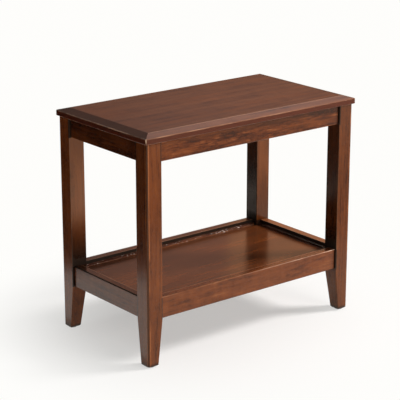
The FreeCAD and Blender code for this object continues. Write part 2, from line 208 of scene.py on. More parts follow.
# Turns that lay a piece on the axes of its board: X along the grain, Y and Z across it.
turn_to_grain = {
    "X": Matrix.Identity(3),
    "Y": Matrix.Rotation(math.radians(-90.0), 3, "Z"),
    "Z": Matrix.Rotation(math.radians(90.0), 3, "Y"),
    "RISING": Matrix.Rotation(math.radians(-45.0), 3, "Z"),
    "FALLING": Matrix.Rotation(math.radians(45.0), 3, "Z"),
}


def board_axes(tree, node_name, grain):
    low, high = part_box(node_name)
    turn = turn_to_grain[grain]
    centre = turn @ ((low + high) / 2.0)
    half = turn @ ((high - low) / 2.0)
    place = add_node(tree, "ShaderNodeTexCoord")
    mapping = add_node(tree, "ShaderNodeMapping", vector_type="POINT")
    mapping.inputs["Rotation"].default_value = turn.to_euler()
    mapping.inputs["Location"].default_value = -centre
    feed(tree, mapping.inputs["Vector"], place.outputs["Object"])
    return mapping.outputs["Vector"], Vector((abs(half.x), abs(half.y), abs(half.z)))


def place_group(tree, group, **values):
    node = add_node(tree, "ShaderNodeGroup", node_tree=group)
    for socket, value in values.items():
        feed(tree, node.inputs[socket.replace("_", " ")], value)
    return node.outputs


def blank_material(name):
    material = bpy.data.materials.new(name)
    material.use_nodes = True
    material.node_tree.nodes.clear()
    return material, material.node_tree


def show(tree, shader):
    output = add_node(tree, "ShaderNodeOutputMaterial")
    tree.links.new(shader.outputs[0], output.inputs["Surface"])


def coated_surface(tree, colour, roughness, relief, strength, depth):
    bump = add_node(tree, "ShaderNodeBump")
    bump.inputs["Strength"].default_value = strength
    bump.inputs["Distance"].default_value = depth
    feed(tree, bump.inputs["Height"], relief)
    surface = add_node(tree, "ShaderNodeBsdfPrincipled")
    feed(tree, surface.inputs["Base Color"], colour)
    feed(tree, surface.inputs["Roughness"], roughness)
    feed(tree, surface.inputs["Normal"], bump.outputs["Normal"])
    show(tree, surface)
    return surface


def stained_wood(
    node_name, grain, heart, shades, rings=0.12, ring_width=0.0065, bands=0.5, streaks=0.5, curls=0.2,
    clouds=0.35, flecks=0.15, warm=(0.35, tint(138, 70, 26)), edge=(0.8, 0.0022), pale_edge=tint(150, 98, 66),
    roughness=(0.17, 0.28), bumps=0.1, marks_and_painted_light=None,
):
    material, tree = blank_material("wood_" + node_name)
    board, half = board_axes(tree, node_name, grain)
    figure = place_group(
        tree, wood_figure, Board=board, Heart=heart, Ring_Width=ring_width, Rings=rings,
        Bands=bands, Streaks=streaks, Curls=curls, Clouds=clouds, Flecks=flecks,
    )
    ramp = add_node(tree, "ShaderNodeValToRGB")
    feed(tree, ramp.inputs[0], figure["Tone"])
    tones = (0.12, 0.4, 0.62, 0.9)
    stops = ramp.color_ramp.elements
    stops.remove(stops[1])
    stops[0].position = tones[0]
    stops[0].color = shades[0]
    for tone, shade in zip(tones[1:], shades[1:]):
        stops.new(tone).color = shade
    warm_share, warm_shade = warm
    warmed = reckon(tree, "MULTIPLY", figure["Warmth"], warm_share)
    stained = blend_colours(tree, warmed, ramp.outputs["Color"], warm_shade)
    in_pores = reckon(tree, "MULTIPLY", figure["Pores"], 0.5)
    stained = blend_colours(tree, in_pores, stained, shades[0])
    # Paler along the edges: wear on the lacquer and painted highlight.
    edge_share, edge_width = edge
    wear_and_highlight = place_group(tree, edge_wear_and_highlight, Board=board, Half=half, Width=edge_width)
    at_edges = reckon(tree, "MULTIPLY", wear_and_highlight["Mask"], edge_share)
    stained = blend_colours(tree, at_edges, stained, pale_edge)
    # The hook lays a piece's own marks, stain and wear, and also painted light and shade.
    if marks_and_painted_light:
        stained = marks_and_painted_light(tree, board, half, stained)

    # Where the colour is near black, mostly the painted shade on inner faces and in joints, the lacquer is
    # dulled.
    grey = add_node(tree, "ShaderNodeRGBToBW")
    feed(tree, grey.inputs["Color"], stained)
    near_black_dull = spread(tree, grey.outputs["Val"], 0.003, 0.010, 0.9, 0.0)
    smooth, rough = roughness
    sprayed = spread(tree, figure["Relief"], 0.0, 0.75, rough, smooth)
    dull = reckon(tree, "MAXIMUM", sprayed, near_black_dull)
    surface = coated_surface(tree, stained, dull, figure["Relief"], strength=bumps, depth=0.00015)
    surface.inputs["IOR"].default_value = 1.46
    surface.inputs["Specular Tint"].default_value = (1.0, 0.78, 0.6, 1.0)
    return material


def dress(node_name, material):
    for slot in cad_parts[node_name].material_slots:
        slot.material = material


def scale_shades(shades, share):
    return tuple((red * share, green * share, blue * share, 1.0) for red, green, blue, _ in shades)


# Heights on a leg are measured from the middle of its length, as its board axes are.
leg_low, leg_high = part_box("leg_front_left")
leg_width = leg_high.y - leg_low.y
leg_middle = (leg_low.z + leg_high.z) / 2.0
sole = leg_low.z - leg_middle
rail_foot, rail_top = (corner.z - leg_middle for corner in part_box("rail_front"))
apron_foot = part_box("apron_front")[0].z - leg_middle


# outward points from the middle of a leg to its outer corner. The other three are shares: of painted sheen
# on the upper half of the lengthwise inner face, of the painted shade kept off that face near the rail, and
# of painted shade on the lower half of the crosswise one.
def leg_painted_light_and_wear(outward, painted_sheen=0.06, clear=0.0, lower_shade=0.45):
    def marks_and_painted_light(tree, board, half, colour):
        turned = reckon_vector(tree, "MULTIPLY", board, (0.0, *outward))
        _, from_long_side, from_end = split(tree, reckon_vector(tree, "SUBTRACT", half, turned))
        from_corner = reckon(tree, "MAXIMUM", from_long_side, from_end)
        height, _, _ = split(tree, board)
        at_inner_face = (leg_width - 0.0015, leg_width - 0.0005)
        lengthwise_face = spread(tree, from_long_side, *at_inner_face, 0.0, 1.0)
        crosswise_face = spread(tree, from_end, *at_inner_face, 0.0, 1.0)

        # Painted sheen: a paler upper half on the lengthwise inner face.
        upper_half = spread(tree, height, -0.050, 0.060, 0.0, painted_sheen, "SMOOTHSTEP")
        sheen_mask = reckon(tree, "MULTIPLY", lengthwise_face, upper_half)
        colour = blend_colours(tree, sheen_mask, colour, tint(214, 160, 122))

        # Painted shade on the inner faces, darkest just above the rail and fading upward.
        above_rail = spread(tree, height, rail_top - 0.0035, rail_top - 0.0005, 0.0, 0.97)
        toward_rail = spread(tree, height, rail_top, 0.045, 1.0, 0.0, "SMOOTHSTEP")
        painted_shade = reckon(tree, "MULTIPLY", above_rail, toward_rail)
        inner_faces = reckon(tree, "MAXIMUM", lengthwise_face, crosswise_face)
        painted_shade = reckon(tree, "MULTIPLY", inner_faces, painted_shade)
        left_on = reckon(tree, "MULTIPLY_ADD", lengthwise_face, -clear, 1.0)
        painted_shade = reckon(tree, "MULTIPLY", painted_shade, left_on)
        # Painted shade on the lower crosswise inner face.
        lower_half = spread(tree, height, -0.060, 0.160, lower_shade, 0.45, "SMOOTHSTEP")
        shade_facing_leg = reckon(tree, "MULTIPLY", crosswise_face, lower_half)
        painted_shade = reckon(tree, "MAXIMUM", painted_shade, shade_facing_leg)
        # Painted shadow in the setbacks beside the rail and the apron.
        below_rail_top = spread(tree, height, rail_top, rail_top + 0.0010, 1.0, 0.0)
        above_rail_foot = spread(tree, height, rail_foot - 0.0015, rail_foot, 0.0, 1.0)
        at_rail = reckon(tree, "MULTIPLY", below_rail_top, above_rail_foot)
        at_apron = spread(tree, height, apron_foot - 0.0015, apron_foot, 0.0, 1.0)
        at_joint = reckon(tree, "MAXIMUM", at_rail, at_apron)
        setback_shadow = spread(tree, from_corner, leg_width - 0.0038, leg_width - 0.0020, 0.0, 0.9)
        painted_shade = reckon(tree, "MAXIMUM", painted_shade, reckon(tree, "MULTIPLY", at_joint, setback_shadow))
        # All of the painted shade on the leg is laid in one near-black colour.
        colour = blend_colours(tree, painted_shade, colour, tint(14, 6, 3))

        # Painted shade at the sole.
        at_sole = spread(tree, height, sole + 0.0025, sole + 0.0105, 0.95, 0.0)
        colour = blend_colours(tree, at_sole, colour, tint(22, 9, 4))

        # Painted shade on the round of the outer corner.
        corner_shade = spread(tree, from_corner, 0.0030, 0.0042, 0.5, 0.0, "SMOOTHSTEP")
        colour = blend_colours(tree, corner_shade, colour, tint(30, 11, 4))
        # Beside it a pale line, broken up like rubbed lacquer, which is also painted highlight.
        line_start = spread(tree, from_corner, 0.0036, 0.0046, 0.0, 1.0, "SMOOTHSTEP")
        line_end = spread(tree, from_corner, 0.0052, 0.0064, 1.0, 0.0, "SMOOTHSTEP")
        wear_and_painted_light = cloud(tree, board, (11.0, 30.0, 30.0), detail=4.0, roughness=0.6)
        wear_and_painted_light = spread(tree, wear_and_painted_light, 0.42, 0.6, 0.0, 0.75, "SMOOTHSTEP")
        line = reckon(tree, "MULTIPLY", reckon(tree, "MULTIPLY", line_start, line_end), wear_and_painted_light)
        return blend_colours(tree, line, colour, tint(176, 104, 56))
    return marks_and_painted_light


leg_shades = (tint(62, 26, 9), tint(106, 51, 18), tint(120, 61, 23), tint(146, 84, 38))
# Each leg's shades are scaled, partly as its own tone and partly as painted light: lighter for the back left
# leg, darker for the right ones.
leg_woods = {
    "leg_front_left": ((0.0, 0.055, 0.012), 0.9, leg_painted_light_and_wear((-1.0, 1.0))),
    "leg_front_right": ((0.0, -0.048, 0.03), 0.7, leg_painted_light_and_wear((-1.0, -1.0))),
    "leg_back_right": ((0.0, 0.03, -0.05), 0.74, leg_painted_light_and_wear((1.0, -1.0), clear=0.8, lower_shade=0.9)),
    "leg_back_left": ((0.0, -0.06, 0.004), 1.4, leg_painted_light_and_wear((1.0, 1.0), painted_sheen=0.18)),
}
for leg, (heart, depth, marks_and_painted_light) in leg_woods.items():
    dress(leg, stained_wood(leg, "Z", heart, scale_shades(leg_shades, depth), marks_and_painted_light=marks_and_painted_light))


# Aprons
# Four boards under the top, tenoned into the legs and set back from their faces. Solid walnut with the grain
# along the board, stained and lacquered as the legs are. The long ones are cut from curly, knotty wood.

half_between_legs = {"X": -leg_high.x, "Y": -leg_high.y}


# under_top is the share of painted shadow close below the top, of which the start of the board has
# start_share.
def joint_and_overhang_shade(grain, under_top=0.0, start_share=1.0):
    def marks_and_painted_light(tree, board, half, colour):
        along, _, height = split(tree, board)
        upper_part = spread(tree, height, half.z - 0.020, half.z - 0.004, 0.0, under_top)
        lengthwise = spread(tree, along, -0.11, 0.02, start_share, 1.0, "SMOOTHSTEP")
        overhang_shadow = reckon(tree, "MULTIPLY", upper_part, lengthwise)
        colour = blend_colours(tree, overhang_shadow, colour, tint(38, 15, 6))
        # Painted shade in the gap at each end, where the board meets the leg.
        from_middle = reckon(tree, "ABSOLUTE", along)
        joint = half_between_legs[grain]
        line = spread(tree, from_middle, joint - 0.0028, joint - 0.0014, 0.0, 0.95)
        return blend_colours(tree, line, colour, tint(20, 8, 4))
    return marks_and_painted_light


apron_shades = (tint(52, 20, 7), tint(82, 36, 13), tint(100, 47, 17), tint(140, 78, 39))
# The side aprons' shades are scaled darker, partly as painted shade.
apron_woods = {
    "apron_front": ("X", (0.0, 0.03, 0.018), 1.0, joint_and_overhang_shade("X", under_top=0.6, start_share=0.1)),
    "apron_right": ("Y", (0.0, -0.05, 0.01), 0.9, joint_and_overhang_shade("Y", under_top=0.3)),
    "apron_back": ("X", (0.0, 0.06, -0.02), 1.0, joint_and_overhang_shade("X", under_top=0.4)),
    "apron_left": ("Y", (0.0, 0.04, 0.03), 0.8, joint_and_overhang_shade("Y", under_top=0.3)),
}
apron_curls = {"X": 1.6, "Y": 0.5}
for apron, (grain, heart, depth, marks_and_painted_light) in apron_woods.items():
    wood = stained_wood(
        apron, grain, heart, scale_shades(apron_shades, depth), flecks=0.4, clouds=0.6, streaks=0.6,
        curls=apron_curls[grain], marks_and_painted_light=marks_and_painted_light,
    )
    dress(apron, wood)


# Corner blocks
# Four blocks of plain hardwood set across the corners behind the legs, glued and screwed to the aprons, with
# one more screw up into the top. They are sawn and only thinly stained, with no lacquer.

plain_shades = (tint(104, 70, 42), tint(142, 103, 68), tint(156, 116, 78), tint(176, 136, 96))


def plain_hardwood(node_name, grain, heart):
    return stained_wood(
        node_name, grain, heart, plain_shades, rings=0.3, ring_width=0.004, edge=(0.25, 0.002),
        warm=(0.2, tint(170, 124, 82)), pale_edge=tint(190, 150, 112), roughness=(0.62, 0.8),
    )


block_woods = {
    "corner_block_front_left": ("FALLING", (0.0, 0.02, 0.05)),
    "corner_block_front_right": ("RISING", (0.0, -0.03, 0.04)),
    "corner_block_back_right": ("FALLING", (0.0, 0.04, -0.03)),
    "corner_block_back_left": ("RISING", (0.0, -0.02, -0.06)),
}
for block, (grain, heart) in block_woods.items():
    dress(block, plain_hardwood(block, grain, heart))


# Lower rails
# Four boards that frame the shelf, a little deeper than the aprons and tenoned into the legs in the same way.
# Solid walnut with the grain along the board. Painted shade lies dark on their inner faces, in the joints,
# along the left rail's arris and on the top faces of the back and left rails, and painted light on the right
# rail's top face. The other arrises, sanded round by hand, are rubbed pale and carry a painted highlight, as
# does the inner edge of each top face.

painted_light_top = tint(196, 124, 82)
arris_wear_and_highlight = tint(220, 184, 160)
painted_shade_top = tint(24, 10, 5)
painted_arris_shade = tint(8, 3, 1)


# inner is 1.0 or -1.0, for the side of the board that faces the shelf. top_share of top_shade is painted
# light and shade on the top face. start_share is how much of the painted arris line the start of the board
# has.
def rail_painted_light_and_wear(
    grain, inner, top_share, top_shade, arris_shade=arris_wear_and_highlight, arris_width=0.0006,
    arris_shares=(0.1, 0.85), start_share=0.5,
):
    joints = joint_and_overhang_shade(grain)

    def marks_and_painted_light(tree, board, half, colour):
        colour = joints(tree, board, half, colour)
        along, across, height = split(tree, board)
        inward = reckon(tree, "MULTIPLY", across, inner)
        # Painted light and shade on the top face.
        upper_face = spread(tree, height, half.z - 0.0010, half.z - 0.0004, 0.0, top_share)
        colour = blend_colours(tree, upper_face, colour, top_shade)
        # Painted highlight along the inner edge of the top face.
        inner_highlight = spread(tree, inward, half.y - 0.0036, half.y - 0.0022, 0.0, 0.25)
        colour = blend_colours(tree, inner_highlight, colour, tint(206, 156, 122))
        # Painted shade on the inner face.
        inner_face_shade = spread(tree, inward, half.y - 0.0012, half.y - 0.0004, 0.0, 0.97)
        colour = blend_colours(tree, inner_face_shade, colour, tint(10, 4, 2))
        lower_arris = spread(tree, height, -half.z, 0.0026 - half.z, 0.8, 0.0)
        colour = blend_colours(tree, lower_arris, colour, tint(26, 11, 5))

        # A line on the upper outer arris, broken up like rubbed lacquer: painted highlight on most rails,
        # painted shade on the left one.
        outer_arris = spread(tree, inward, arris_width - half.y, arris_width + 0.0012 - half.y, 1.0, 0.0)
        upper_arris = spread(tree, height, half.z - 0.0018, half.z - 0.0006, 0.0, 1.0)
        wear_and_painted_light = cloud(tree, board, (7.0, 60.0, 60.0), detail=4.0, roughness=0.7)
        wear_and_painted_light = spread(tree, wear_and_painted_light, 0.42, 0.6, *arris_shares, "SMOOTHSTEP")
        lengthwise = spread(tree, along, -0.08, 0.08, start_share, 1.0)
        wear_and_painted_light = reckon(tree, "MULTIPLY", wear_and_painted_light, lengthwise)
        line = reckon(tree, "MULTIPLY", reckon(tree, "MULTIPLY", outer_arris, upper_arris), wear_and_painted_light)
        return blend_colours(tree, line, colour, arris_shade)
    return marks_and_painted_light


rail_shades = (tint(66, 29, 12), tint(98, 48, 21), tint(113, 58, 27), tint(142, 85, 45))
rail_woods = {
    "rail_front": (
        "X", (0.0, 0.045, -0.01),
        rail_painted_light_and_wear("X", 1.0, 0.0, painted_light_top, arris_shares=(0.3, 0.9), start_share=0.1),
    ),
    "rail_right": ("Y", (0.0, -0.02, 0.04), rail_painted_light_and_wear("Y", 1.0, 0.2, painted_light_top)),
    "rail_back": ("X", (0.0, -0.03, 0.05), rail_painted_light_and_wear("X", -1.0, 0.3, painted_shade_top)),
    "rail_left": (
        "Y", (0.0, 0.05, 0.02),
        rail_painted_light_and_wear("Y", -1.0, 0.55, painted_shade_top, painted_arris_shade, 0.0030, arris_shares=(0.97, 1.0), start_share=1.0),
    ),
}
for rail, (grain, heart, marks_and_painted_light) in rail_woods.items():
    dress(rail, stained_wood(rail, grain, heart, rail_shades, curls=0.5, clouds=1.0, marks_and_painted_light=marks_and_painted_light))


# Shelf cleats
# Four square strips of the same plain hardwood as the corner blocks, sawn and left without lacquer. They are
# screwed to the inner faces of the rails and carry the shelf panel.

cleat_woods = {
    "shelf_cleat_front": ("X", (0.0, 0.02, 0.03)),
    "shelf_cleat_right": ("Y", (0.0, -0.03, 0.02)),
    "shelf_cleat_back": ("X", (0.0, 0.03, -0.02)),
    "shelf_cleat_left": ("Y", (0.0, 0.02, -0.03)),
}
for cleat, (grain, heart) in cleat_woods.items():
    dress(cleat, plain_hardwood(cleat, grain, heart))


# Shelf panel
# A thin panel that drops in between the rails and rests on the cleats, notched round the legs. It is veneered
# with walnut, the grain along its length, and has more lacquer than the top, so that the legs mirror in it.

shelf_shades = (tint(50, 23, 11), tint(88, 46, 24), tint(99, 54, 29), tint(116, 68, 39))
shelf_wood = stained_wood(
    "shelf_panel", "X", (0.0, 0.05, -0.09), shelf_shades, rings=0.08, ring_width=0.014, bands=0.4,
    streaks=0.15, clouds=0.4, flecks=0.0, edge=(0.0, 0.001), roughness=(0.18, 0.25), bumps=0.06,
)
dress("shelf_panel", shelf_wood)


# Shelf beads
# Thin quarter-round strips of walnut glued into the corner between the shelf and the rails, to close the gap.
# They are stained darker than the shelf and carry pale specks here and there, mostly along the back, which
# are chipped lacquer and painted glints.

def chips_and_glints(share):
    def marks_and_painted_light(tree, board, half, colour):
        # Pale specks: chipped lacquer and painted glints.
        chip_and_glint_mask = cloud(tree, board, (150.0, 420.0, 420.0), detail=2.0, roughness=0.6)
        lengths = cloud(tree, board, (9.0, 9.0, 9.0), detail=2.0)
        chip_and_glint_mask = reckon(tree, "MULTIPLY_ADD", lengths, 0.5, chip_and_glint_mask)
        chip_and_glint_mask = spread(tree, chip_and_glint_mask, 0.88, 0.94, 0.0, share)
        return blend_colours(tree, chip_and_glint_mask, colour, tint(236, 220, 206))
    return marks_and_painted_light


bead_shades = (tint(33, 13, 8), tint(65, 27, 15), tint(75, 34, 19), tint(91, 46, 28))
bead_chips_and_glints = {
    "shelf_bead_front": ("X", 0.15),
    "shelf_bead_right": ("Y", 0.25),
    "shelf_bead_back": ("X", 0.75),
    "shelf_bead_left": ("Y", 0.15),
}
for bead, (grain, share) in bead_chips_and_glints.items():
    wood = stained_wood(
        bead, grain, (0.0, 0.03, 0.02), bead_shades, flecks=0.3, bumps=0.6, marks_and_painted_light=chips_and_glints(share),
    )
    dress(bead, wood)


# Top board
# One broad board of walnut with a wide, shallow bevel planed on all four sides and a square band left below
# it. The grain runs along its length. It is screwed up from below, through the corner blocks.

def top_stain_and_painted_light(tree, board, half, colour):
    bevel_width = 0.0230
    crease_place = bevel_width - 0.0004
    upper_arris = 0.0024
    lower_arris = -0.0080
    mitre_blur = 0.0004
    away = reckon_vector(tree, "ABSOLUTE", board)
    from_end, from_long_side, _ = split(tree, reckon_vector(tree, "SUBTRACT", half, away))
    along, _, height = split(tree, board)
    past_mitre = reckon(tree, "SUBTRACT", from_long_side, from_end)
    at_end = spread(tree, past_mitre, -mitre_blur, mitre_blur, 0.0, 1.0)
    at_long_side = spread(tree, past_mitre, -mitre_blur, mitre_blur, 1.0, 0.0)

    # Painted shade on the end bevels.
    end_bevel_shade = spread(tree, from_end, bevel_width - 0.0030, bevel_width + 0.0055, 0.75, 0.0, "SMOOTHSTEP")
    end_bevel_shade = reckon(tree, "MULTIPLY", at_end, end_bevel_shade)
    colour = blend_colours(tree, end_bevel_shade, colour, tint(30, 12, 6))
    # Painted shade over the top, darker toward the left end.
    toward_left = spread(tree, along, -0.300, 0.020, 0.3, 0.0, "SMOOTHSTEP")
    colour = blend_colours(tree, toward_left, colour, tint(66, 32, 20))
    # Painted sheen on the long bevels.
    long_bevel_sheen = spread(tree, from_long_side, crease_place, bevel_width + 0.0004, 0.066, 0.0)
    long_bevel_sheen = reckon(tree, "MULTIPLY", at_long_side, long_bevel_sheen)
    colour = blend_colours(tree, long_bevel_sheen, colour, tint(190, 160, 146))
    # A painted highlight along the crease of the long bevels.
    pale_wear_and_highlight = tint(206, 156, 122)
    off_crease = reckon(tree, "ABSOLUTE", reckon(tree, "SUBTRACT", from_long_side, crease_place))
    crease_highlight = reckon(tree, "MULTIPLY", at_long_side, spread(tree, off_crease, 0.0006, 0.0018, 0.3, 0.0))
    colour = blend_colours(tree, crease_highlight, colour, pale_wear_and_highlight)

    nearest = reckon(tree, "MINIMUM", from_end, from_long_side)
    at_side = spread(tree, nearest, 0.0008, 0.0016, 1.0, 0.0)
    below_bevel = spread(tree, height, upper_arris - 0.0008, upper_arris + 0.0008, 1.0, 0.0)
    band = reckon(tree, "MULTIPLY", at_side, below_bevel)
    long_band = reckon(tree, "MULTIPLY", band, reckon(tree, "MULTIPLY", at_long_side, 0.93))
    colour = blend_colours(tree, long_band, colour, tint(74, 23, 5))
    end_band = reckon(tree, "MULTIPLY", band, reckon(tree, "MULTIPLY", at_end, 0.85))
    colour = blend_colours(tree, end_band, colour, tint(96, 34, 8))

    # Painted highlights along the upper and lower arrises, broken up like rubbed lacquer, stronger on the
    # ends and toward the left.
    off_arris = reckon(tree, "ABSOLUTE", reckon(tree, "SUBTRACT", height, upper_arris))
    upper_line = spread(tree, off_arris, 0.0004, 0.0013, 1.0, 0.0)
    lower_line = spread(tree, height, lower_arris - 0.0008, lower_arris, 0.7, 0.0)
    at_arris = spread(tree, nearest, 0.0014, 0.0026, 1.0, 0.0)
    wear_and_painted_light = cloud(tree, board, (16.0, 16.0, 60.0), detail=5.0, roughness=0.7)
    wear_and_painted_light = spread(tree, wear_and_painted_light, 0.40, 0.66, 0.12, 0.55, "SMOOTHSTEP")
    wear_and_painted_light = reckon(tree, "MULTIPLY", wear_and_painted_light, reckon(tree, "MULTIPLY_ADD", at_end, 0.6, 1.0))
    wear_and_painted_light = reckon(tree, "MULTIPLY", wear_and_painted_light, spread(tree, along, 0.02, 0.12, 1.0, 0.4))
    arris_highlights = reckon(tree, "MULTIPLY", reckon(tree, "MAXIMUM", upper_line, lower_line), at_arris)
    colour = blend_colours(tree, reckon(tree, "MULTIPLY", arris_highlights, wear_and_painted_light), colour, pale_wear_and_highlight)

    # A painted glint on each vertical corner.
    both_sides = reckon(tree, "MAXIMUM", from_end, from_long_side)
    corner = spread(tree, both_sides, 0.0018, 0.0028, 0.9, 0.0, "SMOOTHSTEP")
    corner = reckon(tree, "MULTIPLY", corner, spread(tree, height, -0.0085, 0.0, 0.0, 1.0))
    return blend_colours(tree, corner, colour, tint(232, 196, 164))


top_shades = (tint(72, 34, 17), tint(110, 61, 34), tint(124, 71, 41), tint(146, 88, 54))
top_wood = stained_wood(
    "top_board", "X", (0.0, -0.04, -0.11), top_shades, ring_width=0.014, bands=0.55, streaks=0.2,
    clouds=0.6, flecks=0.03, edge=(0.4, 0.0025), roughness=(0.28, 0.36), marks_and_painted_light=top_stain_and_painted_light,
)
dress("top_board", top_wood)


# Screws
# Wood screws of zinc-plated steel with pan heads, a cross recess and a rolled thread. Four go up through the
# corner blocks into the top, eight through the blocks into the aprons, and twelve through the cleats into
# the rails.

def zinc_plate(name):
    material, tree = blank_material(name)
    place = add_node(tree, "ShaderNodeTexCoord").outputs["Object"]
    spots = cloud(tree, place, (900.0, 900.0, 900.0))
    scratches = cloud(tree, place, (2400.0, 400.0, 2400.0), detail=2.0)
    pale = spread(tree, spots, 0.35, 0.65, 0.0, 1.0)
    colour = blend_colours(tree, pale, tint(150, 146, 136), tint(196, 196, 194))
    roughness = spread(tree, spots, 0.3, 0.7, 0.42, 0.26)
    surface = coated_surface(tree, colour, roughness, scratches, strength=0.15, depth=0.0001)
    surface.inputs["Metallic"].default_value = 1.0
    return material


def screw_boxes(node_name):
    copy = bmesh.new()
    copy.from_mesh(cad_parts[node_name].data)
    bmesh.ops.remove_doubles(copy, verts=copy.verts, dist=0.00001)
    waiting = set(copy.verts)
    boxes = []
    while waiting:
        joined = [waiting.pop()]
        for vert in joined:
            beside = [edge.other_vert(vert) for edge in vert.link_edges]
            fresh = [other for other in beside if other in waiting]
            waiting.difference_update(fresh)
            joined.extend(fresh)
        low = Vector(min(vert.co[axis] for vert in joined) for axis in range(3))
        high = Vector(max(vert.co[axis] for vert in joined) for axis in range(3))
        boxes.append((low, high))
    copy.free()
    return sorted(boxes, key=lambda box: tuple(box[0]))


def open_rim(shape):
    return [edge for edge in shape.edges if edge.is_boundary]


def raised_verts(raised):
    return [part for part in raised["geom"] if isinstance(part, bmesh.types.BMVert)]


def round_stretch(centre, radii, start, end, steps):
    points = []
    for step in range(steps + 1):
        angle = math.radians(start + (end - start) * step / steps)
        points.append((centre[0] + radii[0] * math.cos(angle), centre[1] + radii[1] * math.sin(angle)))
    return points


def finished_mesh(shape, name):
    mesh = bpy.data.meshes.new(name)
    shape.to_mesh(mesh)
    shape.free()
    return mesh


def set_out(name, data):
    made = bpy.data.objects.new(name, data)
    bpy.context.scene.collection.objects.link(made)
    return made


def cross_recessed_flat(head_flat):
    slot_half = 0.0004
    slot_reach = 0.0017
    slot_depth = 0.0013
    slot_taper = 0.6
    shape = bmesh.new()
    bmesh.ops.create_circle(shape, cap_ends=True, segments=32, radius=head_flat)
    for across in (Vector((1.0, 0.0, 0.0)), Vector((0.0, 1.0, 0.0))):
        for offset in (-slot_reach, -slot_half, slot_half, slot_reach):
            everything = shape.verts[:] + shape.edges[:] + shape.faces[:]
            bmesh.ops.bisect_plane(shape, geom=everything, plane_co=across * offset, plane_no=across)
    recess = []
    for face in shape.faces:
        middle = face.calc_center_median()
        narrow = min(abs(middle.x), abs(middle.y))
        wide = max(abs(middle.x), abs(middle.y))
        if narrow < slot_half and wide < slot_reach:
            recess.append(face)
    floor_verts = raised_verts(bmesh.ops.extrude_face_region(shape, geom=recess))
    bmesh.ops.delete(shape, geom=recess, context="FACES")
    bmesh.ops.scale(shape, vec=(slot_taper, slot_taper, 1.0), verts=floor_verts)
    bmesh.ops.translate(shape, vec=(0.0, 0.0, slot_depth), verts=floor_verts)
    return shape


def screw_mesh(length):
    head_flat = 0.0024
    head_radius = 0.0035
    head_round = 0.0013
    head_height = 0.0022
    shank = 0.00165
    core = 0.0012
    tip = 0.0005
    tip_length = 0.004
    thread_start = 0.3 * length
    shape = cross_recessed_flat(head_flat)
    rounded = round_stretch((head_flat, head_round), (head_radius - head_flat, head_round), -90.0, 0.0, 4)
    radius, height = rounded[0]
    rings = [
        *rounded[1:], (head_radius, head_height), (shank, head_height), (shank, thread_start),
        (core, thread_start + 0.0005), (core, length - tip_length), (tip, length),
    ]
    for ring_radius, ring_height in rings:
        ring = raised_verts(bmesh.ops.extrude_edge_only(shape, edges=open_rim(shape)))
        share = ring_radius / radius
        bmesh.ops.scale(shape, vec=(share, share, 1.0), verts=ring)
        bmesh.ops.translate(shape, vec=(0.0, 0.0, ring_height - height), verts=ring)
        radius = ring_radius
        height = ring_height
    bmesh.ops.edgeloop_fill(shape, edges=open_rim(shape))

    pitch = 0.0016
    crest = 0.00173
    root = core - 0.0002
    flank = 0.0004
    run_out = 0.006
    steps = 18
    turns = math.floor((length - thread_start - run_out) / pitch)
    start = thread_start + 0.001
    tooth = shape.faces.new((
        shape.verts.new((root, 0.0, start)),
        shape.verts.new((crest, 0.0, start + flank)),
        shape.verts.new((root, 0.0, start + 2.0 * flank)),
    ))
    bmesh.ops.spin(
        shape, geom=[tooth, *tooth.edges, *tooth.verts], cent=(0.0, 0.0, 0.0), axis=(0.0, 0.0, 1.0),
        dvec=(0.0, 0.0, pitch / steps), angle=math.tau * turns, steps=steps * turns,
    )
    bmesh.ops.recalc_face_normals(shape, faces=shape.faces)
    return finished_mesh(shape, "single_screw")


def drive_screws(node_name, material):
    boxes = screw_boxes(node_name)
    first_low, first_high = boxes[0]
    pattern = screw_mesh(length=max(first_high - first_low))
    driven = bmesh.new()
    for low, high in boxes:
        size = high - low
        middle = (low + high) / 2.0
        axis = max(range(3), key=lambda index: size[index])
        toward = Vector((0.0, 0.0, 0.0))
        toward[axis] = 1.0 if axis == 2 else math.copysign(1.0, middle[axis])
        head = middle - toward * (size[axis] / 2.0)
        copy = pattern.copy()
        copy.transform(Matrix.Translation(head) @ toward.to_track_quat("Z", "Y").to_matrix().to_4x4())
        driven.from_mesh(copy)
        bpy.data.meshes.remove(copy)
    bpy.data.meshes.remove(pattern)
    mesh = finished_mesh(driven, node_name + "_threaded")
    mesh.materials.append(material)
    made = set_out(node_name + "_threaded", mesh)
    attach(made, "root")
    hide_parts(node_name)


zinc = zinc_plate("zinc_steel")
for screws in ("top_screws", "block_screws", "cleat_screws"):
    drive_screws(screws, zinc)


# Foot glides
# Four discs of dark nylon with rounded rims that keep the feet off the floor. Each is nailed into the end of
# a leg by a steel nail, whose head sits in a hollow in the middle of the disc.

def dark_nylon(name):
    material, tree = blank_material(name)
    place = add_node(tree, "ShaderNodeTexCoord").outputs["Object"]
    grain = cloud(tree, place, (1500.0, 1500.0, 1500.0), detail=2.0)
    colour = blend_colours(tree, grain, tint(38, 34, 31), tint(58, 53, 48))
    roughness = spread(tree, grain, 0.3, 0.7, 0.5, 0.65)
    coated_surface(tree, colour, roughness, grain, strength=0.3, depth=0.0002)
    return material


